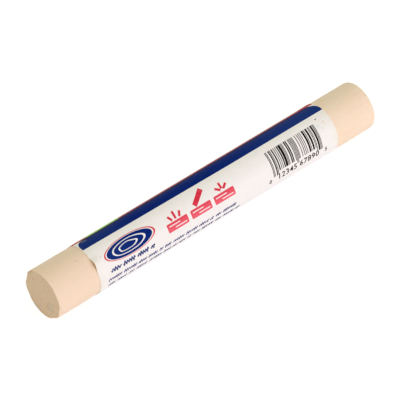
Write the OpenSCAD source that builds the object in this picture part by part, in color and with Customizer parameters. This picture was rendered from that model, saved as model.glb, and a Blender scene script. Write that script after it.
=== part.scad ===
// Furniture repair wax stick with a wrapped paper label.
// The stick lies along X on the plane Z = 0, near end towards -X, in millimetres.
// Angles round the stick are measured from the top (+Z) towards the front (-Y).

/* [Wax stick] */
// Diameter of the wax
wax_d = 12.7; // [10:0.1:16]
// Length of the wax
wax_len = 100; // [88:0.5:130]
// Rounding of the near end's rim, which was cut
near_rim_r = 0.25; // [0.1:0.05:0.8]
// Rounding of the far end's rim, which came out of the mould
far_rim_r = 0.5; // [0.2:0.05:1.5]

/* [Pouring mark] */
// Diameter of the shallow dish in the near end
mark_d = 2.2; // [1:0.1:3]
// Depth of the dish
mark_depth = 0.12; // [0.05:0.01:0.4]
// Distance from the stick's axis to the middle of the dish
mark_offset = 3.5; // [0:0.1:3.5]
// Angle of the dish round the stick
mark_at = 125; // [0:5:360]

/* [Label] */
// Length of the label along the stick
label_len = 75.2; // [50:0.2:80]
// Bare wax between the near end and the label
near_bare = 12.1; // [1:0.1:16]
// Thickness of the paper
paper_t = 0.08; // [0.06:0.01:0.25]
// Overlap of the label's two long edges, measured on the wax
lap_len = 5; // [2.5:0.5:8]
// Angle of the overlap's middle, which the stick lies on
lap_at = 180; // [165:5:195]
// Width of the flat that the overlap's middle was pressed to, in degrees round the stick
flat_span = 17; // [0:1:20]
// Angle over which the last of the turn climbs onto the first edge
climb_angle = 16; // [8:1:30]

/* [Lifted edge] */
// Height of the arch where the label's near edge has come off the wax
arch_h = 0.75; // [0.2:0.05:1]
// Length of the arch along the stick
arch_len = 3.6; // [2:0.1:8]
// Width of the arch round the stick, in degrees
arch_span = 36; // [20:2:60]
// Angle of the arch's middle
arch_at = 40; // [0:5:90]

/* [Glue] */
// Thickness of the glue, which also holds the paper off the wax
glue_t = 0.03; // [0.02:0.01:0.1]
// Dry paper between the ends of a glue strip and the label's short edges
glue_inset = 2; // [0.5:0.5:5]

/* [Hidden] */

// Sides of a full circle in the turned solids
round_sides = 96;
// Widest angle between two stations round the sheet
station_angle = 3;
// Stations along the arch
arch_steps = 5;

turn = 360;
wax_r = wax_d / 2;
label_near_x = near_bare - wax_len / 2;
// Radius of a ball that cuts a dish of the mark's diameter and depth
mark_ball_r = (mark_d * mark_d / 4 + mark_depth * mark_depth) / (2 * mark_depth);

// Radius of the sheet's inner face where it is wrapped straight on the wax
wrap_r = wax_r + glue_t;
// How far the second layer lies outside the first
layer_rise = paper_t + glue_t;
lap_angle = lap_len / (PI * wax_d) * turn;
lap_steps = ceil(lap_angle / station_angle);
lap_step_angle = lap_angle / lap_steps;
// Angle of the edge that was laid down first
lead_at = lap_at - lap_angle / 2;
flat_half = min(flat_span / 2, lap_angle / 2 - lap_step_angle);
turn_steps = ceil((turn - lap_angle) / station_angle);

// Angle wrapped so far at each station: the first layer of the lap, the rest of the turn, the second layer
wraps = concat(
    [for (i = [0 : lap_steps - 1]) lap_step_angle * i],
    [for (i = [0 : turn_steps - 1]) lap_angle + (turn - lap_angle) * i / turn_steps],
    [for (i = [0 : lap_steps]) turn + lap_step_angle * i]
);
// Distance from the near edge at each station along the sheet
runs = concat([for (i = [0 : arch_steps]) arch_len * i / arch_steps], [label_len]);

// Smooth step from 0 to 1 as t goes from 0 to 1
function ease(t) = (1 - cos(180 * min(1, max(0, t)))) / 2;

// Radius of the sheet's inner face, which climbs one layer at the end of the turn
function layer_r(wrap) = wrap_r + layer_rise * ease((wrap - turn + climb_angle) / climb_angle);

// Factor on the second layer's radius, which makes its pressed middle flat and then fades out to 1
function press(wrap) =
    let (off_middle = abs(lead_at + wrap - turn - lap_at))
    off_middle <= flat_half ? 1 / cos(off_middle)
    : 1 + (1 / cos(flat_half) - 1) * ease(1 - (off_middle - flat_half) / (lap_angle / 2 - flat_half));

// How far the sheet stands off the wax in the arch
function lift(wrap, run) =
    let (off_middle = abs(lead_at + wrap - turn - arch_at))
    arch_h * ease(1 - 2 * off_middle / arch_span) * ease(1 - run / arch_len);

// Point in the stick's cross-section, as Y and Z from its axis
function around(r, angle) = [-r * sin(angle), r * cos(angle)];

// Point of the sheet, side 0 inside and side 1 outside, with X from the near edge
function sheet_point(side, wrap, run) =
    let (r = (layer_r(wrap) + side * paper_t) * press(wrap) + lift(wrap, run))
    concat([run], around(r, lead_at + wrap));

// Height of the axis, so that the label's lowest station lies on the floor
axis_z = max([for (w = wraps) -(layer_r(w) + paper_t) * press(w) * cos(lead_at + w)]);

// Stations of the first layer that the glue reaches
glued_wraps = [for (i = [1 : lap_steps - 1]) wraps[i]];

last_wrap = len(wraps) - 1;
last_run = len(runs) - 1;

// Number of a sheet point, by side, station round and station along
function at(side, i, j) = (side * (last_wrap + 1) + i) * (last_run + 1) + j;

// Two triangles of a four-cornered patch
function patch(a, b, c, d) = [[a, b, c], [a, c, d]];

sheet_points = [
    for (side = [0, 1]) for (w = wraps) for (run = runs) sheet_point(side, w, run)
];

sheet_faces = [
    // Both broad faces of the sheet
    for (i = [0 : last_wrap - 1]) for (j = [0 : last_run - 1])
        each concat(
            patch(at(1, i, j), at(1, i, j + 1), at(1, i + 1, j + 1), at(1, i + 1, j)),
            patch(at(0, i, j), at(0, i + 1, j), at(0, i + 1, j + 1), at(0, i, j + 1))
        ),
    // The two short edges, which run round the stick
    for (i = [0 : last_wrap - 1])
        each concat(
            patch(at(0, i, 0), at(1, i, 0), at(1, i + 1, 0), at(0, i + 1, 0)),
            patch(at(0, i + 1, last_run), at(1, i + 1, last_run), at(1, i, last_run), at(0, i, last_run))
        ),
    // The two long edges, which lie in the lap
    for (j = [0 : last_run - 1])
        each concat(
            patch(at(0, 0, j), at(0, 0, j + 1), at(1, 0, j + 1), at(1, 0, j)),
            patch(at(1, last_wrap, j), at(1, last_wrap, j + 1), at(0, last_wrap, j + 1), at(0, last_wrap, j))
        )
];

// Turns a profile, drawn with radius along X and the stick's length along Y, about the stick's axis
module turned_on_axis() {
    translate([0, 0, axis_z]) rotate([0, 90, 0]) rotate_extrude($fn = round_sides) children();
}

// Half section of the wax, with a quarter round at each rim
module wax_profile() {
    core_r = wax_r - max(near_rim_r, far_rim_r);
    near_y = -wax_len / 2;
    translate([0, near_y]) square([core_r, wax_len]);
    translate([0, near_y]) square([wax_r - near_rim_r, wax_len / 2]);
    square([wax_r - far_rim_r, wax_len / 2]);
    translate([0, near_y + near_rim_r]) square([wax_r, wax_len - near_rim_r - far_rim_r]);
    translate([wax_r - near_rim_r, near_y + near_rim_r]) circle(near_rim_r, $fn = round_sides);
    translate([wax_r - far_rim_r, wax_len / 2 - far_rim_r]) circle(far_rim_r, $fn = round_sides);
}

// Ball that cuts the shallow dish into the near end
module mark_cutter() {
    translate([mark_depth - mark_ball_r - wax_len / 2, 0, axis_z])
        translate(concat([0], around(mark_offset, mark_at)))
            sphere(mark_ball_r, $fn = round_sides);
}

// Cast stick of filling wax
module wax_stick() {
    color("bisque") difference() {
        turned_on_axis() wax_profile();
        mark_cutter();
    }
}

// Printed paper sheet, wrapped once round the wax and lapped on itself
module label() {
    color("ivory") translate([label_near_x, 0, axis_z])
        polyhedron(points = sheet_points, faces = sheet_faces, convexity = 4);
}

// Strip along the lap that follows the sheet's stations, one in from each side, with its radii at each of them
module lap_strip(inner_radii, outer_radii) {
    glued = [for (w = glued_wraps) lead_at + w];
    last = len(glued) - 1;
    translate([label_near_x + glue_inset, 0, axis_z])
        rotate([90, 0, 90])
            linear_extrude(label_len - 2 * glue_inset)
                polygon(concat(
                    [for (i = [0 : last]) around(outer_radii[i], glued[i])],
                    [for (i = [last : -1 : 0]) around(inner_radii[i], glued[i])]
                ));
}

// Glue between the wax and the edge that was laid down first, with inner facets that just touch the wax
module tack_glue() {
    color("khaki") lap_strip(
        [for (w = glued_wraps) wax_r / cos(lap_step_angle / 2)],
        [for (w = glued_wraps) wrap_r]
    );
}

// Glue between the two layers of paper in the lap
module lap_glue() {
    color("darkkhaki") lap_strip(
        [for (w = glued_wraps) wrap_r + paper_t],
        [for (w = glued_wraps) layer_r(turn + w) * press(turn + w)]
    );
}

wax_stick();
label();
tack_glue();
lap_glue();
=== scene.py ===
"""Looks of a furniture repair wax stick: the waxy stick, the paper wrapped round it and the ink on the paper.

Sizes are in metres. Those of the flat label's artwork, and those in the tables of pits, nicks, flats, stains
and scuffs, are in millimetres.
Angles round the stick are in degrees from the top (+Z) towards the front (-Y).
"""

import math
import random

import bmesh
import bpy
import numpy as np
from mathutils import Matrix, Vector, noise


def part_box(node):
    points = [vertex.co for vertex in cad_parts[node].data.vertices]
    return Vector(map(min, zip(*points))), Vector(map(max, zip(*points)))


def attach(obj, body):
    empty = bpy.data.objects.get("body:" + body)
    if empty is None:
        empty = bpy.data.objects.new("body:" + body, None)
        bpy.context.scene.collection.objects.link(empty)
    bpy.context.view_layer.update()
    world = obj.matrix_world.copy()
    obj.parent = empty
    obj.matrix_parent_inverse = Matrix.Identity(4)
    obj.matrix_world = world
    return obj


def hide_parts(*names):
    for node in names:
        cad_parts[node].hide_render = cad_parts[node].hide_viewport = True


MM = 0.001
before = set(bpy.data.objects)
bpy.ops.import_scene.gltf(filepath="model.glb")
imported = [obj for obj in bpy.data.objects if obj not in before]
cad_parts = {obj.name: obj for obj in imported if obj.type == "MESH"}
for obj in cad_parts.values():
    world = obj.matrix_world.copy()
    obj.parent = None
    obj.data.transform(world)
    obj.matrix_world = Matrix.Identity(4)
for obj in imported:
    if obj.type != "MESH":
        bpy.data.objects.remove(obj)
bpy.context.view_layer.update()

# Sizes and places of the frame's solids
wax_low, wax_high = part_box("wax_stick")
label_low, label_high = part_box("label")
NEAR_X, FAR_X = wax_low.x, wax_high.x
WAX_R = (wax_high.z - wax_low.z) / 2
AXIS_Z = (wax_high.z + wax_low.z) / 2
LABEL_NEAR_X, LABEL_FAR_X = label_low.x, label_high.x
LABEL_LEN = LABEL_FAR_X - LABEL_NEAR_X
SHEET_R = (label_high.y - label_low.y) / 2
# Outer radius at the lap, which the stick lies on
LAP_R = AXIS_Z

TURN = 360.0
# Details of the solids that a box doesn't give
PAPER_T = 0.08 * MM
LAP_AT, LAP_ANGLE = 180.0, 45.1
LEAD_AT = LAP_AT - LAP_ANGLE / 2
CLIMB_ANGLE, FLAT_ANGLE = 16.0, 17.0
ARCH_H, ARCH_LEN = 0.75 * MM, 3.6 * MM
ARCH_AT, ARCH_SPAN = 40.0, 36.0
FAR_RIM_R = 0.5 * MM
MARK_R, MARK_DEPTH = 1.1 * MM, 0.12 * MM
MARK_OFFSET, MARK_AT = 3.5 * MM, 125.0
# Rounding of the cut near rim, which is tighter here than in the solid, as the photograph shows it
NEAR_RIM_R = 0.12 * MM
# How far the noise moves from one seed to the next
SEED_STEPS = (7.3, 3.1, 5.7)


def ease(t):
    """Smooth step from 0 to 1, for numbers and arrays."""
    t = np.clip(t, 0.0, 1.0)
    return t * t * (3 - 2 * t)


def around(x, r, angle):
    """Points at x along the stick, at a radius and an angle round its axis."""
    a = np.radians(angle)
    return np.stack([x + 0 * a, -r * np.sin(a), AXIS_Z + r * np.cos(a)], axis=-1)


def off_middle(angle, middle):
    """How far an angle lies from a middle, the short way round."""
    return (angle - middle + TURN / 2) % TURN - TURN / 2


def field(places, scale, seed):
    """Smooth noise from -1 to 1 at each place. scale is the size of its features in metres."""
    shift = Vector([seed * step for step in SEED_STEPS])
    flat = np.asarray(places, float).reshape(-1, 3) / scale
    found = [noise.noise(Vector(p) + shift) for p in flat]
    return np.array(found).reshape(np.shape(places)[:-1])


def add_object(name, data):
    """A new object with this data, in the scene."""
    new = bpy.data.objects.new(name, data)
    bpy.context.scene.collection.objects.link(new)
    return new


def mesh_object(name, verts, faces):
    """Smooth-shaded mesh from lists of points and faces."""
    mesh = bpy.data.meshes.new(name)
    mesh.from_pydata([tuple(v) for v in verts], [], faces)
    mesh.polygons.foreach_set("use_smooth", [True] * len(mesh.polygons))
    return add_object(name, mesh)


# Materials

# Values between which most of a noise texture lies
NOISE_SPAN = (0.3, 0.7)
# Share of a soft spot's radius over which it has its full strength
SPOT_CORE = 0.4


class Nodes:
    """A node tree, with short calls to add and link nodes."""

    def __init__(self, tree):
        self.tree = tree

    def add(self, kind, inputs=None, **settings):
        node = self.tree.nodes.new(kind)
        for key, value in settings.items():
            setattr(node, key, value)
        for key, value in (inputs or {}).items():
            self.put(node.inputs[key], value)
        return node

    def put(self, socket, value):
        """Links a socket to another one, or sets its value."""
        if isinstance(value, bpy.types.NodeSocket):
            self.tree.links.new(value, socket)
        else:
            socket.default_value = value

    def place(self):
        """Each point's place, in metres in the object's own space."""
        return self.add("ShaderNodeTexCoord").outputs["Object"]

    def scaled(self, vector, by):
        return self.add("ShaderNodeMapping", {"Vector": vector, "Scale": by}).outputs[0]

    def separate(self, vector, axis):
        return self.add("ShaderNodeSeparateXYZ", {"Vector": vector}).outputs[axis]

    def attribute(self, name):
        return self.add("ShaderNodeAttribute", attribute_name=name).outputs["Fac"]

    def noise(self, vector, scale, detail=3.0, roughness=0.5):
        inputs = {"Vector": vector, "Scale": scale, "Detail": detail, "Roughness": roughness}
        return self.add("ShaderNodeTexNoise", inputs).outputs["Fac"]

    def ramp(self, value, low, high, to_low=0.0, to_high=1.0):
        """Smooth step from to_low to to_high as the value goes from low to high."""
        inputs = {"Value": value, "From Min": low, "From Max": high, "To Min": to_low, "To Max": to_high}
        return self.add("ShaderNodeMapRange", inputs, interpolation_type="SMOOTHSTEP").outputs[0]

    def spot(self, vector, centre, radius, strength):
        """A soft round spot: full strength over its inner part and 0 from the radius on."""
        away = self.add("ShaderNodeVectorMath", operation="DISTANCE")
        self.put(away.inputs[0], vector)
        self.put(away.inputs[1], tuple(centre))
        return self.ramp(away.outputs["Value"], SPOT_CORE * radius, radius, strength, 0.0)

    def mix(self, share, first, second):
        """The first colour at a share of 0, the second at 1."""
        node = self.add("ShaderNodeMix", data_type="RGBA")
        for key, value in (("Factor_Float", share), ("A_Color", first), ("B_Color", second)):
            self.put(next(s for s in node.inputs if s.identifier == key), value)
        return next(s for s in node.outputs if s.identifier == "Result_Color")

    def math(self, operation, first, second):
        node = self.add("ShaderNodeMath", operation=operation)
        self.put(node.inputs[0], first)
        self.put(node.inputs[1], second)
        return node.outputs[0]

    def bump(self, height, strength, distance):
        inputs = {"Height": height, "Strength": strength, "Distance": distance}
        return self.add("ShaderNodeBump", inputs).outputs[0]


class Surface(Nodes):
    """A material with its node tree."""

    def __init__(self, name):
        self.material = bpy.data.materials.new(name)
        self.material.use_nodes = True
        super().__init__(self.material.node_tree)
        self.shader = self.tree.nodes["Principled BSDF"]

    def set(self, **inputs):
        for key, value in inputs.items():
            self.put(self.shader.inputs[key.replace("_", " ")], value)

    def set_gloss(self, place, scale, low, high):
        """Roughness that goes from low to high in small patches."""
        self.set(Roughness=self.ramp(self.noise(place, scale), *NOISE_SPAN, low, high))


def colour(red, green, blue):
    """A colour as it shows on screen, from 0 to 255, as a shader takes it."""
    def linear(c):
        c /= 255
        return c / 12.92 if c <= 0.04045 else ((c + 0.055) / 1.055) ** 2.4
    return (linear(red), linear(green), linear(blue), 1.0)


# The wax's shade near one end and the other, and the distance from the middle at which it comes to them
WAX_NEAR, WAX_FAR = colour(251, 225, 206), colour(254, 229, 209)
WAX_SHADE_REACH = 40 * MM
WAX_CLOUDS, WAX_DRAGS = colour(248, 220, 194), colour(238, 207, 176)
WAX_CUT, WAX_CUT_GRAIN = colour(235, 206, 182), colour(196, 160, 122)
# The last of these is painted shadow: a warm brown on the wax under the label's lifted edge
WAX_MARK, WAX_PITS, WAX_PAINTED_SHADOW = colour(226, 203, 186), colour(150, 104, 62), colour(238, 166, 62)
# Scales of its noise, per metre: the clouds, the drag lines, the cut's grain, the gloss and the finest grain
CLOUD_SCALE, DRAG_SCALE, CUT_SCALE = 260.0, (14.0, 3300.0, 3300.0), 900.0
GLOSS_SCALE, FINE_SCALE = 1500.0, 4200.0
WAX_GRAIN_H = 0.02 * MM
# How far red, green and blue light go in, and the length that these are shares of
WAX_LIGHT_SHARES, WAX_LIGHT_DEPTH = (1.0, 0.6, 0.35), 0.6 * MM


def wax_material():
    """Pigmented wax: soft clouds, fine drag lines, darker pits, a painted shadow under the label's lifted
    edge and some light that goes in.
    """
    s = Surface("wax")
    place = s.place()
    along = s.ramp(s.separate(place, "X"), -WAX_SHADE_REACH, WAX_SHADE_REACH)
    base = s.mix(along, WAX_NEAR, WAX_FAR)
    clouds = s.ramp(s.noise(place, CLOUD_SCALE, 4.0), *NOISE_SPAN, 0.0, 0.25)
    base = s.mix(clouds, base, WAX_CLOUDS)
    drags = s.noise(s.scaled(place, DRAG_SCALE), 1.0, 2.0, 0.6)
    base = s.mix(s.ramp(drags, 0.42, 0.66, 0.0, 0.12), base, WAX_DRAGS)
    cut = s.attribute("cut")
    base = s.mix(cut, base, WAX_CUT)
    grain = s.ramp(s.noise(place, CUT_SCALE, 5.0, 0.65), 0.42, 0.8, 0.0, 0.26)
    base = s.mix(s.math("MULTIPLY", cut, grain), base, WAX_CUT_GRAIN)
    # Marks from the attributes; the last is painted shadow under the label's lifted edge
    for name, shade in (("mark", WAX_MARK), ("pit", WAX_PITS), ("painted_shadow", WAX_PAINTED_SHADOW)):
        base = s.mix(s.attribute(name), base, shade)
    s.set(Base_Color=base, IOR=1.44, Specular_IOR_Level=0.02)
    s.set(Subsurface_Weight=0.3, Subsurface_Scale=WAX_LIGHT_DEPTH, Subsurface_Radius=WAX_LIGHT_SHARES)
    s.set_gloss(place, GLOSS_SCALE, 0.42, 0.58)
    fine = s.math("ADD", drags, s.noise(place, FINE_SCALE, 2.0))
    s.set(Normal=s.bump(fine, 0.2, WAX_GRAIN_H))
    return s.material


# Stains on the paper, as place along the stick in millimetres, angle, radius, strength and colour
STAINS = (
    (35.0, 31.0, 0.55, 0.5, (240, 222, 184)),
    (35.3, 37.5, 0.4, 0.4, (240, 224, 190)),
    (34.0, 42.6, 0.35, 0.35, (208, 196, 196)),
    (33.2, 33.0, 0.9, 0.35, (222, 229, 232)),
    (-24.0, -70.0, 0.7, 0.3, (238, 226, 198)),
    (9.0, -120.0, 0.6, 0.3, (214, 208, 204)),
)
PAPER_WHITE, PAPER_FIBRES = colour(247, 243, 245), colour(249, 246, 248)
PAPER_AGED, PAPER_EDGE = colour(240, 236, 224), colour(243, 238, 222)
# Yellowing along the paper's two short edges: how strong it is there and how far in it fades out
EDGE_AGE, EDGE_AGE_LEN = 0.3, 2.2 * MM
# Scales of the paper's noise, per metre: its fibres and the clouds of age
FIBRE_SCALE, AGE_SCALE = 700.0, 110.0
# Grain of the paper and of the ink on it, with its height, which the glue has too
PRINT_GRAIN, GRAIN_H = 2500.0, 0.01 * MM


def paper_material():
    """Coated paper: faint clouds, a few stains and a soft gloss."""
    s = Surface("label_paper")
    place = s.place()
    fibres = s.ramp(s.noise(place, FIBRE_SCALE, 5.0, 0.6), *NOISE_SPAN)
    base = s.mix(fibres, PAPER_WHITE, PAPER_FIBRES)
    age = s.ramp(s.noise(place, AGE_SCALE, 2.0), 0.5, 0.8, 0.0, 0.12)
    base = s.mix(age, base, PAPER_AGED)
    along = s.separate(place, "X")
    near_edge = s.ramp(along, LABEL_NEAR_X, LABEL_NEAR_X + EDGE_AGE_LEN, EDGE_AGE, 0.0)
    far_edge = s.ramp(along, LABEL_FAR_X - EDGE_AGE_LEN, LABEL_FAR_X, 0.0, EDGE_AGE)
    base = s.mix(s.math("MAXIMUM", near_edge, far_edge), base, PAPER_EDGE)
    for x, angle, r, strength, shade in STAINS:
        base = s.mix(s.spot(place, around(x * MM, SHEET_R, angle), r * MM, strength), base, colour(*shade))
    s.set(Base_Color=base, IOR=1.5, Specular_IOR_Level=0.15)
    s.set_gloss(place, 1200.0, 0.3, 0.4)
    s.set(Normal=s.bump(s.noise(place, PRINT_GRAIN), 0.1, GRAIN_H))
    return s.material


# Heights between which a faded ink turns from pale to its own shade
INK_FADE_Z = (9.0 * MM, 12.2 * MM)
INK_CLOUD_SCALE = 900.0
# Colour of the soft pale spots that are painted reflections on the glossy ink
REFLECTION_SPOT_COLOUR = colour(112, 130, 150)


def ink_material(name, shade, worn=None, fade=0.0, thin=(), painted_reflections=(), back=None):
    """Printing ink, with small clouds of a paler, worn shade if it has one.

    fade is the worn shade's share low down. thin holds stretches along the stick, each with the share at its
    second end. The soft pale spots are painted reflections of the glossy ink. back is a darker shade towards
    the back, with where it begins and is full; for the red it is painted shade.
    """
    s = Surface(name)
    place = s.place()
    base = shade
    if worn:
        clouds = s.ramp(s.noise(place, INK_CLOUD_SCALE, 4.0, 0.6), 0.45, 0.8, 0.0, 0.35)
        low_down = s.ramp(s.separate(place, "Z"), *INK_FADE_Z, fade, 0.0)
        pale = s.math("MAXIMUM", clouds, low_down)
        for start, end, share in thin:
            pale = s.math("MAXIMUM", pale, s.ramp(s.separate(place, "X"), start * MM, end * MM, 0.0, share))
        base = s.mix(pale, shade, worn)
    if back:
        back_shade, from_y, to_y = back
        base = s.mix(s.ramp(s.separate(place, "Y"), from_y, to_y), base, back_shade)
    # Soft pale spots: painted reflections
    for x, angle, r, strength in painted_reflections:
        base = s.mix(s.spot(place, around(x * MM, SHEET_R, angle), r * MM, strength), base, REFLECTION_SPOT_COLOUR)
    s.set(Base_Color=base, IOR=1.5, Specular_IOR_Level=0.02)
    s.set_gloss(place, 1300.0, 0.28, 0.4)
    s.set(Normal=s.bump(s.noise(place, PRINT_GRAIN), 0.1, GRAIN_H))
    return s.material


GLUE_SHADES = (colour(222, 210, 172), colour(236, 226, 196))


def glue_material():
    """Dried label glue, a little uneven."""
    s = Surface("glue")
    place = s.place()
    s.set(Base_Color=s.mix(s.noise(place, 800.0), *GLUE_SHADES))
    s.set_gloss(place, 1600.0, 0.3, 0.5)
    s.set(Normal=s.bump(s.noise(place, 2000.0), 0.2, GRAIN_H))
    return s.material


# Wax stick
WAX_SIDES, FACE_RINGS = 288, 34
NEAR_RIM_STEPS, FAR_RIM_STEPS = 5, 9
# Steps along the side, with the fine ones going on for a way under the label's two edges
FINE_STEP, HIDDEN_STEP = 0.17 * MM, 2.5 * MM
UNDER_NEAR, UNDER_FAR = 4.0 * MM, 1.5 * MM
# Share of the outward direction that lies across the stick, below which a place is on an end face
FACE_OUT = 0.5
# Heights and lengths of the texture: a low bulge, drag lines that are drawn out along the stick, and the cut
BULGE_H, BULGE_LEN = 0.01 * MM, 9 * MM
DRAG_H, DRAG_LEN, DRAG_STRETCH = 0.004 * MM, 0.9 * MM, (0.07, 1.6, 1.6)
CUT_H, CUT_LEN = 0.012 * MM, 0.8 * MM
# Shares of its height by which the bulge lies lower, and the cut
BULGE_DROP, CUT_DROP = 0.6, 0.5
# Wear of the moulded end's rim: its depth, how far in it reaches and how long its patches are
FAR_WEAR, FAR_WEAR_REACH, FAR_WEAR_LEN = 0.03 * MM, 1.4 * MM, 2.2 * MM

# Pits that show on the near end face, as distance and angle from the axis
FACE_PITS = (
    (4.3, -54), (5.3, -85), (3.3, -73), (5.4, 5), (3.9, -114), (2.1, -161), (4.6, -164), (3.3, 162),
    (5.7, 16),
)
# Pits that show on the side, as place along the stick, angle and darkness
SIDE_PITS = (
    (-48.6, 0, 0.3), (-49.0, 22, 0.2), (-47.3, 76, 0.15), (-46.4, 61, 0.15), (-47.9, -12, 0.1),
    (-41.0, 12, 0.45), (-41.3, 40, 0.12), (-39.9, 38, 0.2), (47.2, 12, 0.3), (47.4, 16, 0.35),
    (42.9, -1, 0.3), (40.8, 4, 0.15), (42.1, 42, 0.12), (46.7, 42, 0.2), (46.9, 61, 0.2),
    (47.6, 28, 0.12), (45.0, 35, 0.12),
)
# Nicks in the moulded end's rim and upper side, as place, angle, radius and depth
NICKS = ((46.6, -39, 0.5, 0.12), (49.5, 25, 0.7, 0.16))
NICK_DARK = 0.1
# Least and most of the pits' radius, depth and darkness. SIDE_PITS has its own darkness.
FACE_PIT = ((0.2, 0.26), (0.05, 0.09), (0.55, 0.9))
SIDE_PIT = ((0.18, 0.26), (0.02, 0.04))
SMALL_SIDE_PIT = ((0.12, 0.2), (0.01, 0.02), (0.03, 0.1))
SMALL_FACE_PIT = ((0.12, 0.2), (0.02, 0.04), (0.1, 0.4))
# The small ones lie all over the bare wax, on its hidden sides too: their numbers, where they lie along the
# stick, in millimetres, and how far from the axis they lie on the faces
SMALL_SIDE_COUNT, SMALL_FACE_COUNT = 60, 26
SMALL_NEAR_X, SMALL_FAR_X = (-49.7, -38.0), (37.5, 49.2)
SMALL_FACE_REACH = 5.4 * MM
PITS_SEED = 11
# How far a pit's darkness goes, in its radii
PIT_DARK_REACH = 1.1
# The pouring mark's darker ring, with its radius and half width in the dish's radii, and the dish's soft edge
MARK_RING_DARK, MARK_RING_AT, MARK_RING_W = 0.27, 1.04, 0.22
MARK_EDGE = 0.2
# Flats and a burr that the knife left on the cut end's rim, as angle, half width and depth or height
RIM_FLATS = ((-121, 15, 0.12), (-76, 19, 0.4), (56, 15, 0.1), (97, 13, 0.25), (142, 17, 0.3))
RIM_BURRS = ((-162, 38, 0.1),)
# How uneven that rim is elsewhere, and how far along the stick its shape reaches
RIM_UNEVEN, RIM_REACH = 0.015 * MM, 1.0 * MM
# Darker brown along that rim, as angle, half width and share
RIM_DARKENING = ((-155, 55, 0.3), (-47, 18, 0.3), (166, 16, 0.2))
RIM_DARK_REACH = 1.1 * MM
# How far the bare wax stands out past the wrapped wax, and over what length it comes to that
SWELL_H, SWELL_LEN = 0.05 * MM, 4.0 * MM
# Painted shadow on the wax under the label's lifted edge, a warm brown: its share, how far in it reaches and
# how far past the arch's sides
ARCH_SHADOW, ARCH_SHADOW_REACH, ARCH_SHADOW_ASIDE = 0.6, 1.6 * MM, 3.0


def quarter(centre_x, centre_r, r, start, steps):
    """Stations along a rim's rounding, between its two ends."""
    angles = [math.radians(start + 90 * i / steps) for i in range(1, steps)]
    return [(centre_x - r * math.cos(a), centre_r + r * math.sin(a)) for a in angles]


def wax_stations():
    """Stations along the stick's half section, from the near end's middle to the far end's, as (x, r)."""
    near_flat, far_flat = WAX_R - NEAR_RIM_R, WAX_R - FAR_RIM_R
    stations = [(NEAR_X, near_flat * (i + 0.5) / FACE_RINGS) for i in range(FACE_RINGS)]
    stations += [(NEAR_X, near_flat)]
    stations += quarter(NEAR_X + NEAR_RIM_R, near_flat, NEAR_RIM_R, 0, NEAR_RIM_STEPS)
    marks = [NEAR_X + NEAR_RIM_R, LABEL_NEAR_X + UNDER_NEAR, LABEL_FAR_X - UNDER_FAR, FAR_X - FAR_RIM_R]
    for start, end, step in zip(marks, marks[1:], (FINE_STEP, HIDDEN_STEP, FINE_STEP)):
        count = max(1, round((end - start) / step))
        stations += [(start + (end - start) * i / count, WAX_R) for i in range(count)]
    stations += [(FAR_X - FAR_RIM_R, WAX_R)]
    stations += quarter(FAR_X - FAR_RIM_R, far_flat, FAR_RIM_R, 90, FAR_RIM_STEPS)
    stations += [(FAR_X, far_flat)]
    stations += [(FAR_X, far_flat * (FACE_RINGS - i - 0.5) / FACE_RINGS) for i in range(FACE_RINGS)]
    return np.array(stations)


def outward_of(stations):
    """Outward direction at each station, as (along x, along r)."""
    ahead = np.gradient(stations, axis=0)
    ahead /= np.linalg.norm(ahead, axis=1)[:, None]
    return np.stack([-ahead[:, 1], ahead[:, 0]], axis=1)


def wax_pits():
    """Small pits and nicks, each as (place, radius, depth, darkness)."""
    rng = random.Random(PITS_SEED)
    pits = []

    def drawn(spans):
        return [rng.uniform(*span) for span in spans]

    def pit(x, r, angle, size, depth, dark):
        pits.append((around(x, r, angle), size * MM, depth * MM, dark))

    for off, angle in FACE_PITS:
        pit(NEAR_X, off * MM, angle, *drawn(FACE_PIT))
    for x, angle, dark in SIDE_PITS:
        pit(x * MM, WAX_R, angle, *drawn(SIDE_PIT), dark)
    for x, angle, size, depth in NICKS:
        pit(x * MM, WAX_R, angle, size, depth, NICK_DARK)
    for _ in range(SMALL_SIDE_COUNT):
        x, angle = rng.choice(drawn((SMALL_NEAR_X, SMALL_FAR_X))), rng.uniform(0, TURN)
        pit(x * MM, WAX_R, angle, *drawn(SMALL_SIDE_PIT))
    for _ in range(SMALL_FACE_COUNT):
        x, angle = rng.choice((NEAR_X, FAR_X)), rng.uniform(0, TURN)
        size, depth, dark = drawn(SMALL_FACE_PIT)
        pit(x, SMALL_FACE_REACH * math.sqrt(rng.random()), angle, size, depth, dark)
    return pits


def humps(angle, table):
    """Height at each angle of the humps in a table of angle, half width and height."""
    height = 0.0 * angle
    for at, half_width, top in table:
        height = np.maximum(height, top * (1 - (off_middle(angle, at) / half_width) ** 2))
    return height


def rim_shift(angle):
    """How far the near rim stands out at each angle: its burr, less its flats or a slight unevenness."""
    uneven = RIM_UNEVEN * (1 + np.sin(np.radians(angle * 7 + 40)) * np.sin(np.radians(angle * 3)))
    return humps(angle, RIM_BURRS) * MM - np.maximum(uneven, humps(angle, RIM_FLATS) * MM)


def wax_texture(places, x, r, is_face):
    """Height of a low bulge all over, drag lines on the side, the rougher cut and the far end's worn rim."""
    rise = BULGE_H * (field(places, BULGE_LEN, 1) - BULGE_DROP)
    rise = rise + DRAG_H * field(places * DRAG_STRETCH, DRAG_LEN, 2) * ~is_face
    rise = rise + CUT_H * (field(places, CUT_LEN, 3) - CUT_DROP) * is_face
    far_rim = ease(1 - np.hypot(x - FAR_X, WAX_R - r) / FAR_WEAR_REACH)
    return rise - FAR_WEAR * far_rim * (0.5 + 0.5 * field(places, FAR_WEAR_LEN, 4))


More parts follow.
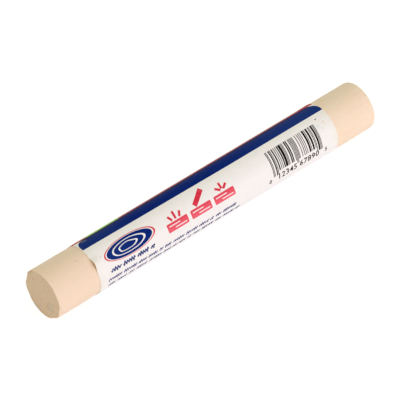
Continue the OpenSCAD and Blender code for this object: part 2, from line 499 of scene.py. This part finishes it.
def painted_shadow_share(x, angle, is_face):
    """Share of the painted shadow on the wax, a warm brown under the label's lifted edge."""
    under = (x - LABEL_NEAR_X) / ARCH_SHADOW_REACH
    off = np.abs(off_middle(angle, ARCH_AT))
    beside = ease((ARCH_SPAN / 2 + ARCH_SHADOW_ASIDE - off) / (2 * ARCH_SHADOW_ASIDE))
    return ARCH_SHADOW * beside * ease(1 - under) * (under > 0) * ~is_face


def turned_object(name, places):
    """Mesh over rings of places round the stick, closed by a point in the middle of each end."""
    rows, columns = places.shape[:2]

    def number(i, j):
        return i * columns + j % columns

    near, far = rows * columns, rows * columns + 1
    middles = [places[0].mean(axis=0), places[-1].mean(axis=0)]
    faces = []
    for j in range(columns):
        for i in range(rows - 1):
            faces.append((number(i, j), number(i, j + 1), number(i + 1, j + 1), number(i + 1, j)))
        faces.append((near, number(0, j + 1), number(0, j)))
        faces.append((far, number(rows - 1, j), number(rows - 1, j + 1)))
    return mesh_object(name, [*places.reshape(-1, 3), *middles], faces)


def build_wax():
    """The stick as one turned mesh, with its surface pushed in and out along its normals."""
    stations = wax_stations()
    angles = np.arange(WAX_SIDES) * TURN / WAX_SIDES
    x, angle = np.meshgrid(stations[:, 0], angles, indexing="ij")
    bare = ease((LABEL_NEAR_X - x) / SWELL_LEN) + ease((x - LABEL_FAR_X) / SWELL_LEN)
    swell = SWELL_H * bare + rim_shift(angle) * ease(1 - (x - NEAR_X) / RIM_REACH)
    r = stations[:, 1][:, None] * (1 + swell / WAX_R)
    places = around(x, r, angle)
    along, out = outward_of(stations).T[:, :, None]
    a = np.radians(angle)
    outward = np.stack([along + 0 * a, -out * np.sin(a), out * np.cos(a)], axis=-1)
    is_face = np.abs(out) < FACE_OUT
    on_near = is_face & (x < 0)

    rise = wax_texture(places, x, r, is_face)
    # Darkening: a darker brown along the near rim at some angles, then the pits' brown
    dark = humps(angle, RIM_DARKENING) * ease(1 - np.hypot(x - NEAR_X, WAX_R - r) / RIM_DARK_REACH)
    for centre, size, depth, shade in wax_pits():
        away = np.linalg.norm(places - centre, axis=-1) / size
        rise = rise - depth * ease(1 - away)
        dark = np.maximum(dark, shade * ease(PIT_DARK_REACH - away))
    # The pouring mark: a shallow dish, paler inside, with a darker ring at its edge
    away = np.linalg.norm(places - around(NEAR_X, MARK_OFFSET, MARK_AT), axis=-1) / MARK_R
    rise = rise - MARK_DEPTH * np.clip(1 - away**2, 0, 1) * on_near
    ring = ease(1 - np.abs(away - MARK_RING_AT) / MARK_RING_W)
    dark = np.maximum(dark, MARK_RING_DARK * ring * on_near)
    mark = ease((1 - away) / MARK_EDGE) * on_near
    # The second share is painted shadow under the label's lifted edge
    shares = {"pit": dark, "painted_shadow": painted_shadow_share(x, angle, is_face), "cut": 1.0 * on_near, "mark": mark}

    piece = turned_object("wax_body", places + outward * rise[..., None])
    for key, values in shares.items():
        attribute = piece.data.attributes.new(key, "FLOAT", "POINT")
        both_ends = (values[0].mean(), values[-1].mean())
        attribute.data.foreach_set("value", np.append(values.reshape(-1), both_ends).astype(np.float32))
    piece.data.materials.append(wax_material())
    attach(piece, "root")
    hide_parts("wax_stick")


# Label

# Steps round the sheet, and along its arch, its plain stretch and its far edge
STATION_ANGLE = 1.5
ARCH_STEP, PLAIN_STEP = 0.2 * MM, 1.2 * MM
EDGE_LEN, EDGE_STEPS = 2.0 * MM, 10
# The far edge's curl and the paper's low waves
CURL_H, CURL_LEN = 0.04 * MM, 1.2 * MM
WAVE_H, WAVE_LEN = 0.005 * MM, 3.1 * MM
# Angle from which an edge of the sheet is shaded as a sharp one
SHARP_ANGLE = 50


def sheet_radius(x, angle):
    """Outer radius of the paper's first layer: its arch, its low waves and its far edge's curl."""
    run = x - LABEL_NEAR_X
    off = np.abs(off_middle(angle, ARCH_AT))
    arch = ARCH_H * ease(1 - 2 * off / ARCH_SPAN) * ease(1 - run / ARCH_LEN)
    a = np.radians(angle)
    curl = CURL_H * ease(1 - (LABEL_LEN - run) / CURL_LEN) * (0.6 + 0.4 * np.sin(3 * a))
    waves = WAVE_H * (1 + np.sin(x / WAVE_LEN + 2 * a) * np.sin(5 * a + 0.5))
    return SHEET_R + arch + curl + waves


def press(off):
    """Factor that makes the second layer flat in the lap's middle, at angles off from it."""
    half, edge = FLAT_ANGLE / 2, LAP_ANGLE / 2
    ridge = 1 + (1 / math.cos(math.radians(half)) - 1) * ease((edge - off) / (edge - half))
    return np.where(off <= half, 1 / np.cos(np.radians(off)), ridge)


def build_label():
    """The sheet, wrapped once round and lapped, closed by its four narrow edges."""
    wraps = np.append(np.arange(0, TURN + LAP_ANGLE, STATION_ANGLE), TURN + LAP_ANGLE)
    edge_start = LABEL_LEN - EDGE_LEN
    arch = np.arange(0, ARCH_LEN, ARCH_STEP)
    plain = np.arange(ARCH_LEN, edge_start - PLAIN_STEP / 2, PLAIN_STEP)
    edge = np.linspace(edge_start, LABEL_LEN, EDGE_STEPS + 1)
    wrap, run = np.meshgrid(wraps, np.concatenate([arch, plain, edge]), indexing="ij")
    x, angle = LABEL_NEAR_X + run, LEAD_AT + wrap
    # The second layer climbs onto the first and then lies on the floor, where it has no waves
    climb = (LAP_R - SHEET_R) * ease((wrap - TURN + CLIMB_ANGLE) / CLIMB_ANGLE)
    outer = np.where(wrap > TURN - CLIMB_ANGLE, SHEET_R, sheet_radius(x, angle)) + climb
    pressed = press(np.abs(angle - TURN - LAP_AT))
    layers = np.stack([around(x, (outer - PAPER_T) * pressed, angle), around(x, outer * pressed, angle)])
    rows, columns = x.shape
    last_row, last_column = rows - 1, columns - 1

    def number(side, i, j):
        return (side * rows + i) * columns + j

    faces = []
    for i in range(last_row):
        # Both broad faces of the sheet
        for j in range(last_column):
            faces.append((number(1, i, j), number(1, i, j + 1), number(1, i + 1, j + 1), number(1, i + 1, j)))
            faces.append((number(0, i, j), number(0, i + 1, j), number(0, i + 1, j + 1), number(0, i, j + 1)))
        # The two short edges, which run round the stick
        faces.append((number(0, i, 0), number(1, i, 0), number(1, i + 1, 0), number(0, i + 1, 0)))
        j = last_column
        faces.append((number(0, i, j), number(0, i + 1, j), number(1, i + 1, j), number(1, i, j)))
    # The two long edges, which lie in the lap
    for j in range(last_column):
        faces.append((number(0, 0, j), number(0, 0, j + 1), number(1, 0, j + 1), number(1, 0, j)))
        i = last_row
        faces.append((number(0, i, j), number(1, i, j), number(1, i, j + 1), number(0, i, j + 1)))
    piece = mesh_object("label_sheet", layers.reshape(-1, 3), faces)
    piece.data.set_sharp_from_angle(angle=math.radians(SHARP_ANGLE))
    piece.data.materials.append(paper_material())
    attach(piece, "root")
    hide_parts("label")


# Printing

# How far an ink stands over the paper and goes into it. The blue lies over the other colours.
INK_ABOVE, BLUE_ABOVE, INK_BELOW = 0.008 * MM, 0.01 * MM, 0.006 * MM
MM_PER_DEGREE = math.pi * SHEET_R / MM / 180
# Widths of the slices that a drawing is cut into: round the stick, and along it on the arch and past it
SLICE_ROUND, SLICE_ARCH, SLICE_PLAIN = 2.0 * MM_PER_DEGREE, 0.3, 1.5
# How near two points of a drawing are one, and how near a cut a point lies on it
SAME_POINT, SAME_CUT = 1e-5, 1e-6


def at_angle(degrees):
    """Distance round the flat label, in millimetres from the top."""
    return degrees * MM_PER_DEGREE


def flat_bmesh(drawing):
    """The filled inside of a flat curve or of text, as a bmesh."""
    holder = add_object("drawing", drawing)
    bpy.context.view_layer.update()
    mesh = bpy.data.meshes.new_from_object(holder.evaluated_get(bpy.context.evaluated_depsgraph_get()))
    bpy.data.objects.remove(holder)
    bpy.data.curves.remove(drawing)
    bm = bmesh.new()
    bm.from_mesh(mesh)
    bpy.data.meshes.remove(mesh)
    bmesh.ops.remove_doubles(bm, verts=bm.verts, dist=SAME_POINT)
    return bm


def filled(*loops):
    """Fills closed loops drawn in millimetres. A loop inside another is a hole."""
    drawing = bpy.data.curves.new("drawing", "CURVE")
    drawing.dimensions = "2D"
    drawing.fill_mode = "BOTH"
    for loop in loops:
        spline = drawing.splines.new("POLY")
        spline.points.add(len(loop) - 1)
        for point, (x, v) in zip(spline.points, loop):
            point.co = (x, v, 0, 1)
        spline.use_cyclic_u = True
    return flat_bmesh(drawing)


def figure(character, x, v, size, bold):
    """A figure that stands upright on the label, with the middle of its foot at x and v."""
    text = bpy.data.curves.new("figure", "FONT")
    text.body = character
    text.size = size
    text.offset = bold
    text.align_x = "CENTER"
    text.resolution_u = FIGURE_CURVE_STEPS
    bm = flat_bmesh(text)
    for vert in bm.verts:
        vert.co = (x + vert.co.x, v - vert.co.y, 0)
    return bm


def slice_flat(bm, axis, step, start=-math.inf, end=math.inf):
    """Cuts a flat mesh along evenly spaced lines between start and end, so that it can bend."""
    along = [v.co[axis] for v in bm.verts]
    start, end = max(start, min(along)), min(end, max(along))
    normal = Vector((axis == 0, axis == 1, 0))
    for k in range(math.ceil(start / step), math.floor(end / step) + 1):
        everything, place = bm.verts[:] + bm.edges[:] + bm.faces[:], normal * (k * step)
        bmesh.ops.bisect_plane(bm, geom=everything, plane_co=place, plane_no=normal, dist=SAME_CUT)


def bend_on(bm, above):
    """Bends a flat drawing onto the paper and gives it the ink's thickness."""
    tops = bm.verts[:]
    grown = bmesh.ops.extrude_face_region(bm, geom=bm.faces[:], use_keep_orig=True)
    bottoms = [v for v in grown["geom"] if isinstance(v, bmesh.types.BMVert)]
    for verts, height in ((tops, above), (bottoms, -INK_BELOW)):
        flat = np.array([v.co for v in verts])
        x, angle = flat[:, 0] * MM, flat[:, 1] / MM_PER_DEGREE
        bent = around(x, sheet_radius(x, angle) + height, angle)
        for vert, place in zip(verts, bent):
            vert.co = place
    bmesh.ops.recalc_face_normals(bm, faces=bm.faces[:])


def ink(name, material, drawings, above=INK_ABOVE):
    """All the drawings of one colour, as one thin solid on the paper."""
    joined = bmesh.new()
    arch_end = (LABEL_NEAR_X + ARCH_LEN) / MM
    for bm in drawings:
        slice_flat(bm, 1, SLICE_ROUND)
        slice_flat(bm, 0, SLICE_ARCH, end=arch_end)
        slice_flat(bm, 0, SLICE_PLAIN, start=arch_end)
        bend_on(bm, above)
        part = bpy.data.meshes.new("part")
        bm.to_mesh(part)
        bm.free()
        joined.from_mesh(part)
        bpy.data.meshes.remove(part)
    mesh = bpy.data.meshes.new(name)
    joined.to_mesh(mesh)
    joined.free()
    piece = add_object(name, mesh)
    mesh.materials.append(material)
    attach(piece, "root")


def arc(x, v, rx, rv, start, end, steps):
    """Points on an ellipse, with angles in degrees from +x towards +v."""
    turns = [math.radians(start + (end - start) * i / steps) for i in range(steps + 1)]
    return [(x + rx * math.cos(t), v + rv * math.sin(t)) for t in turns]


def rectangle(x0, v0, x1, v1):
    """Corners of a rectangle, from its two opposite ones."""
    return [(x0, v0), (x1, v0), (x1, v1), (x0, v1)]


def rounded(x0, v0, x1, v1, r, steps=6):
    """Rectangle with rounded corners."""
    corners = ((x0 + r, v0 + r, 180), (x1 - r, v0 + r, 270), (x1 - r, v1 - r, 0), (x0 + r, v1 - r, 90))
    return [point for x, v, start in corners for point in arc(x, v, r, r, start, start + 90, steps)]


def stroke(points, width):
    """A line of even width through the points."""
    p = np.array(points, float)
    ahead = np.gradient(p, axis=0)
    ahead /= np.linalg.norm(ahead, axis=1)[:, None]
    side = np.stack([-ahead[:, 1], ahead[:, 0]], axis=1) * width / 2
    return filled([tuple(q) for q in p + side] + [tuple(q) for q in (p - side)[::-1]])


# Edges of the blue band, along the stick in millimetres and round it in degrees. The upper one has a slight
# turn on its way, and its angles are those at its near end, at the turn and at its far end.
BAND_X = (-37.7, 37.3)
BAND_TURN_X = 26.0
BAND_TOP = (-34.7, -33.2, -30.8)
BAND_LOW = ((-37.7, 0.3), (-20.0, 2.1), (6.0, 4.3), (37.3, 4.7))
BAND_CORNER_R, BAND_CORNER_STEPS = (3.3, 3.1), 12
# The stripes behind the band, which comes over their lower edges: red, then green, then red again
STRIPE_TOP, STRIPE_LOW = -60.0, -33.3
RED_NEAR_TOP = -50.0
GREEN_START = ((-35.1, -60.0), (-34.8, -50.0), (-34.1, -41.0), (-32.9, -33.3))
GREEN_END_X = -23.7
RED_FAR_TOP = ((-23.7, -43.8), (5.0, -42.0), (12.0, -40.4), (33.0, -40.2), (35.0, -47.0), (37.3, -48.0))
RED_FAR_LOW = ((-23.7, -33.3), (26.0, -32.4), (37.3, -28.0))


def blue_band():
    """Band along the top, with its two upper corners rounded and its lower edge a little askew."""
    near, far = BAND_X
    near_r, far_r = BAND_CORNER_R
    near_top, turn_top, far_top = [at_angle(angle) for angle in BAND_TOP]
    loop = arc(near + near_r, near_top + near_r, near_r, near_r, 180, 270, BAND_CORNER_STEPS)
    loop += [(BAND_TURN_X, turn_top)]
    loop += arc(far - far_r, far_top + far_r, far_r, far_r, 270, 360, BAND_CORNER_STEPS)
    loop += [(x, at_angle(angle)) for x, angle in reversed(BAND_LOW)]
    return filled(loop)


def stripe(*corners):
    """A length of the stripe behind the band, from corners as place along the stick and angle."""
    return filled([(x, at_angle(angle)) for x, angle in corners])


# Badge of growth rings, like the sawn end of a log, in a red oval
BADGE_X, BADGE_AT = -27.1, 40.5
BADGE_RX, BADGE_RV = 7.6, 2.45
# Edges of its rings, as shares of its size, from outside to inside
BADGE_RED = (1.0, 0.94)
BADGE_RINGS = (0.89, 0.655, 0.58, 0.375, 0.305)
# How much a ring in the very middle wavers, as a share, and how far aside it lies
RING_WAVER, RING_ASIDE = 0.02, 0.9
# Degrees from point to point of a ring
RING_STEP = 6


def growth_ring(share):
    """An oval at a share of the badge's size. The inner ones waver and lie aside, as growth rings do."""
    points = []
    for t in np.radians(np.arange(0, TURN, RING_STEP)):
        waver = RING_WAVER * (1 - share) * (math.sin(3 * t + 1.0) + math.sin(5 * t + 2.5))
        x, v = BADGE_RX * (share + waver) * math.cos(t), BADGE_RV * (share + waver) * math.sin(t)
        points.append((BADGE_X + x - RING_ASIDE * (1 - share), at_angle(BADGE_AT) + v))
    return points


# Three steps as pictures: a scratched board, the stick rubbed along it, and the board made good
STEP_X = (-13.3, -6.0, 1.3)
STEP_AT = 46.0
BOARD_W, BOARD_H, BOARD_DROP, BOARD_R = 6.3, 2.15, 0.2, 0.3
# Lines of grain, as their two ends and their distance from the board's top, with ends that are nearly round
GRAIN_LINES = ((-2.6, 0.8, 0.6), (-0.9, 2.6, 1.4))
GRAIN_T = 0.24
GRAIN_R = GRAIN_T / 2.1
# What stands over the boards, after a gap: splinters, as place, lean and height, then the stick and the rays
BOARD_GAP = 0.3
SPLINTERS = ((-1.1, -0.7, 1.3), (0.0, 0.0, 2.0), (1.1, 0.7, 1.3))
STICK_LEN, STICK_W, STICK_LEAN = 4.7, 1.3, 36.0
STICK_ASIDE, STICK_UP = 1.3, 0.3
RAY_ANGLES, RAY_ENDS = (-54, 0, 54), (0.5, 2.1)
STROKE_T = 0.62


def board(x):
    """A board seen from its edge, with lines of grain left white."""
    top = at_angle(STEP_AT) + BOARD_DROP
    lines = [rounded(x + a, top + down, x + b, top + down + GRAIN_T, GRAIN_R) for a, b, down in GRAIN_LINES]
    return filled(rounded(x - BOARD_W / 2, top, x + BOARD_W / 2, top + BOARD_H, BOARD_R), *lines)


def step_pictures():
    """The three boards, with splinters, the leaning stick and rays over them."""
    foot = at_angle(STEP_AT) + BOARD_DROP - BOARD_GAP
    first, second, third = STEP_X
    drawings = [board(x) for x in STEP_X]
    for aside, lean, height in SPLINTERS:
        drawings.append(stroke([(first + aside, foot), (first + aside + lean, foot - height)], STROKE_T))
    c, s = math.cos(math.radians(STICK_LEAN)), math.sin(math.radians(STICK_LEAN))
    x, v = second - STICK_ASIDE, foot - STICK_UP
    corners = rectangle(0.0, -STICK_W / 2, STICK_LEN, STICK_W / 2)
    drawings.append(filled([(x + a * c + b * s, v + b * c - a * s) for a, b in corners]))
    for angle in RAY_ANGLES:
        t = math.radians(angle)
        ray = [(third + r * math.sin(t), foot - r * math.cos(t)) for r in RAY_ENDS]
        drawings.append(stroke(ray, STROKE_T))
    return drawings


# Rows of small waves, as their two ends along the stick, angle, height, thickness and length of a wave
WAVE_SEED = 5
WAVE_ROWS = (
    (-34.3, -20.0, 71.5, 1.15, 0.28, 0.7),
    (-35.4, 5.4, 90.5, 0.95, 0.18, 0.55),
    (-35.3, 5.4, 106.5, 0.9, 0.2, 0.55),
)
BEAT_STEPS = 8
# Least and most length of a stroke and of the gap after it, and the room that a stroke needs to be begun
WAVE_RUN, WAVE_GAP, WAVE_ROOM = (1.1, 4.2), (0.45, 0.7), 0.9


def wave_rows():
    """Wavy strokes of uneven lengths, in rows."""
    rng = random.Random(WAVE_SEED)
    drawings = []
    for x, end, angle, height, thick, beat in WAVE_ROWS:
        while x < end - WAVE_ROOM:
            length = min(rng.uniform(*WAVE_RUN), end - x)
            beats = max(2, round(length / beat))
            points = []
            for i in range(beats * BEAT_STEPS + 1):
                t = i / (beats * BEAT_STEPS)
                swing = height / 2 * (0.8 + 0.2 * math.sin(9 * t + x))
                points.append((x + length * t, at_angle(angle) + swing * math.sin(2 * math.pi * beats * t)))
            drawings.append(stroke(points, thick))
            x += length + rng.uniform(*WAVE_GAP)
    return drawings


# Sample code, which begins with the figures 0 to 9 in a row: bars, with the figures printed below them
CODE = "012345678905"
# Widths of the two bars and two gaps that stand for each figure
CODE_WIDTHS = ("3211", "2221", "2122", "1411", "1132", "1231", "1114", "1312", "1213", "3112")
# Narrow bars and gaps at each end of the bars and in their middle
END_RUNS, MIDDLE_RUNS = 3, 5
# Where the bars lie: from end to end along the stick, and their upper and lower edges. GUARD_AT is the lower
# edge of the longer ones.
CODE_X = (16.3, 32.2)
CODE_AT = (23.5, 74.5)
GUARD_AT = 83.0
# How far the ink spreads past each side of a bar
BAR_SPREAD = 0.014
FIGURE_AT = 95.5
FIGURE_SIZE, FIGURE_PITCH, FIGURE_BOLD = 2.35, 1.3, 0.038
FIGURE_CURVE_STEPS = 3
OUTER_FIGURE_SIZE, OUTER_FIGURE_GAP = 1.6, 1.1
# How far each half of the figures lies from the middle, in pitches
FIGURE_HALF_GAP = 0.25


def code_bars():
    """Bars from the figures' widths, with longer ones at both ends and in the middle."""
    runs = [(1, True)] * END_RUNS
    for k, character in enumerate(CODE):
        if k == len(CODE) // 2:
            runs += [(1, True)] * MIDDLE_RUNS
        is_long = k in (0, len(CODE) - 1)
        runs += [(int(width), is_long) for width in CODE_WIDTHS[int(character)]]
    runs += [(1, True)] * END_RUNS
    module = (CODE_X[1] - CODE_X[0]) / sum(width for width, _ in runs)
    x, bars = CODE_X[0], []
    for k, (width, is_long) in enumerate(runs):
        if k % 2 == 0:
            low = GUARD_AT if is_long else CODE_AT[1]
            near, far = x - BAR_SPREAD, x + width * module + BAR_SPREAD
            bars.append(filled(rectangle(near, at_angle(CODE_AT[0]), far, at_angle(low))))
        x += width * module
    return bars


def code_figures():
    """The code's figures in two halves, with smaller ones outside at both ends."""
    v = at_angle(FIGURE_AT)
    near, far = CODE_X
    outer = ((CODE[0], near - OUTER_FIGURE_GAP), (CODE[-1], far + OUTER_FIGURE_GAP))
    drawings = [figure(character, x, v, OUTER_FIGURE_SIZE, FIGURE_BOLD) for character, x in outer]
    inner = CODE[1:-1]
    half = len(inner) // 2
    middle = (near + far) / 2
    for k, character in enumerate(inner):
        steps = k - half + 0.5
        x = middle + FIGURE_PITCH * (steps + math.copysign(FIGURE_HALF_GAP, steps))
        drawings.append(figure(character, x, v, FIGURE_SIZE, FIGURE_BOLD))
    return drawings


# Specks of dirt that show on the label, as place along the stick, angle and radius
SPECKS = ((33.7, 17.0, 0.17), (-35.5, 32.8, 0.08))
SPECK_STRETCH = 1.1


def specks():
    """Ten-sided specks, a little longer along the stick."""
    return [filled(arc(x, at_angle(angle), r * SPECK_STRETCH, r, 0, 324, 9)) for x, angle, r in SPECKS]


# Shades of the inks: their own and worn. The green is the same all over.
BLUE, BLUE_WORN = colour(4, 36, 121), colour(28, 55, 129)
RED, RED_WORN = colour(220, 50, 72), colour(250, 112, 132)
GREEN = colour(160, 214, 66)
BLACK, BLACK_WORN = colour(16, 15, 16), colour(46, 44, 44)
# Darker shades towards the back, with the places towards it between which the ink turns to them. The blue's
# darkens the band's upper edge; the red's is painted shade.
BLUE_BACK = (colour(3, 20, 82), 2.1 * MM, 3.1 * MM)
# Painted shade for the red, where the stripe along the top turns away from the light
RED_PAINTED_SHADE = (colour(188, 34, 44), 1.0 * MM, 3.0 * MM)
# Stretches where the blue is paler, from none at the first place to a share at the second
BLUE_THIN = ((0.0, 32.0, 0.9), (-22.0, -30.0, 0.55))
# Painted reflections on the blue: soft pale spots, as place along the stick in millimetres, angle, radius and
# strength
BLUE_PAINTED_REFLECTIONS = ((-35.5, -25.4, 0.9, 0.3), (-34.9, -23.3, 0.6, 0.25), (-35.9, -29.0, 0.7, 0.3))
# How much paler the red is low down
RED_FADE = 0.8


def print_blue():
    """The band, the badge's rings and the waves."""
    material = ink_material("ink_blue", BLUE, BLUE_WORN, thin=BLUE_THIN, painted_reflections=BLUE_PAINTED_REFLECTIONS, back=BLUE_BACK)
    rings = filled(*[growth_ring(share) for share in BADGE_RINGS])
    ink("print_blue", material, [blue_band(), rings] + wave_rows(), BLUE_ABOVE)


def print_red():
    """The two red lengths of the stripe, the badge's oval and the steps."""
    # The red turns to a painted shade at the back
    material = ink_material("ink_red", RED, RED_WORN, fade=RED_FADE, back=RED_PAINTED_SHADE)
    near = LABEL_NEAR_X / MM
    near_red = stripe((near, RED_NEAR_TOP), *GREEN_START[1:], (near, STRIPE_LOW))
    far_red = stripe(*RED_FAR_TOP, *RED_FAR_LOW[::-1])
    oval = filled(*[growth_ring(share) for share in BADGE_RED])
    ink("print_red", material, [near_red, far_red, oval] + step_pictures())


def print_green():
    """The green length of the stripe."""
    material = ink_material("ink_green", GREEN)
    length = stripe(*GREEN_START, (GREEN_END_X, STRIPE_LOW), (GREEN_END_X, STRIPE_TOP))
    ink("print_green", material, [length])


def print_black():
    """The sample code and the specks."""
    material = ink_material("ink_black", BLACK, BLACK_WORN)
    ink("print_black", material, code_bars() + code_figures() + specks())


def build_glue():
    """The two strips of glue, which stay as the frame holds them."""
    glue = glue_material()
    for name in ("tack_glue", "lap_glue"):
        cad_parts[name].data.materials.clear()
        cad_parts[name].data.materials.append(glue)


# Studio

# The light from all round and that from the back, with the directions' Y between which it changes
WORLD_LIGHT = (0.73, 0.728, 0.605, 1.0)
WORLD_BACK_LIGHT = (0.63, 0.65, 0.545, 1.0)
BACK_FROM, BACK_TO = -0.3, 0.9
# The lamp
KEY_AZIMUTH, KEY_ELEVATION, KEY_DISTANCE = 15.0, 11.0, 0.9
KEY_SIZE, KEY_POWER = 0.5, 2.67
KEY_TINT = (1.0, 0.875, 1.12)
WHITE = (1.0, 1.0, 1.0, 1.0)
FLOOR_SIZE = 6.0
# The floor's colour where it only carries light, then its colour and glow where it is seen
FLOOR_COLOUR = (0.95, 0.95, 0.95, 1.0)
FLOOR_SEEN_COLOUR, FLOOR_GLOW = (0.3, 0.3, 0.3, 1.0), 0.84


def direction(azimuth, elevation):
    """Unit vector from the stick towards a place at an azimuth from the front and an elevation."""
    a, e = math.radians(azimuth), math.radians(elevation)
    return Vector((math.sin(a) * math.cos(e), -math.cos(a) * math.cos(e), math.sin(e)))


def white_rays(n):
    """1 for the rays that see the white backdrop, and 0 for those that carry its light."""
    path = n.add("ShaderNodeLightPath").outputs
    seen = n.math("MAXIMUM", path["Is Camera Ray"], path["Is Glossy Ray"])
    return n.math("MAXIMUM", seen, path["Is Transmission Ray"])


def build_floor():
    """White floor that keeps a faint shadow of the stick."""
    half = FLOOR_SIZE / 2
    corners = [(x, y, 0) for x, y in rectangle(-half, -half, half, half)]
    floor = mesh_object("floor", corners, [(0, 1, 2, 3)])
    s = Surface("floor")
    seen = white_rays(s)
    s.set(Base_Color=s.mix(seen, FLOOR_COLOUR, FLOOR_SEEN_COLOUR), Roughness=1.0, Specular_IOR_Level=0.0)
    s.set(Emission_Color=WHITE, Emission_Strength=s.math("MULTIPLY", seen, FLOOR_GLOW))
    floor.data.materials.append(s.material)


def build_light():
    """Soft light from all round, a little less from the back, and one large soft lamp low at the front."""
    world = bpy.data.worlds.new("studio")
    bpy.context.scene.world = world
    world.use_nodes = True
    n = Nodes(world.node_tree)
    n.tree.nodes.clear()
    towards_back = n.separate(n.add("ShaderNodeTexCoord").outputs["Generated"], "Y")
    light = n.mix(n.ramp(towards_back, BACK_FROM, BACK_TO), WORLD_LIGHT, WORLD_BACK_LIGHT)
    backdrop = n.add("ShaderNodeBackground", {"Color": n.mix(white_rays(n), light, WHITE), "Strength": 1.0})
    n.put(n.add("ShaderNodeOutputWorld").inputs["Surface"], backdrop.outputs[0])

    lamp = bpy.data.lights.new("key", "AREA")
    lamp.shape = "DISK"
    lamp.size = KEY_SIZE
    lamp.energy = KEY_POWER
    lamp.color = KEY_TINT
    key = add_object("key", lamp)
    away = direction(KEY_AZIMUTH, KEY_ELEVATION)
    key.location = Vector((0, 0, AXIS_Z)) + away * KEY_DISTANCE
    key.rotation_euler = away.to_track_quat("Z", "Y").to_euler()


# Camera, in the photograph's perspective. Aside and up are its offsets in its own picture.
CAMERA_AZIMUTH, CAMERA_ELEVATION = -41.10, 43.72
CAMERA_DISTANCE = 683.0 * MM
CAMERA_ASIDE, CAMERA_UP = -1.327 * MM, -0.789 * MM
LENS_MM, SENSOR_MM = 257.08, 36.0


def build_camera():
    """The camera that shows the stick as the photograph does."""
    back = direction(CAMERA_AZIMUTH, CAMERA_ELEVATION)
    right = Vector((-back.y, back.x, 0)).normalized()
    up = back.cross(right)
    camera = bpy.data.cameras.new("camera")
    camera.sensor_width = SENSOR_MM
    camera.lens = LENS_MM
    holder = add_object("camera", camera)
    holder.location = Vector((0, 0, AXIS_Z)) + right * CAMERA_ASIDE + up * CAMERA_UP + back * CAMERA_DISTANCE
    holder.rotation_euler = Matrix((right, up, back)).transposed().to_euler()
    bpy.context.scene.camera = holder


bpy.context.scene.view_settings.view_transform = "Standard"
build_camera()
build_light()
build_floor()
build_wax()
build_label()
print_blue()
print_red()
print_green()
print_black()
build_glue()
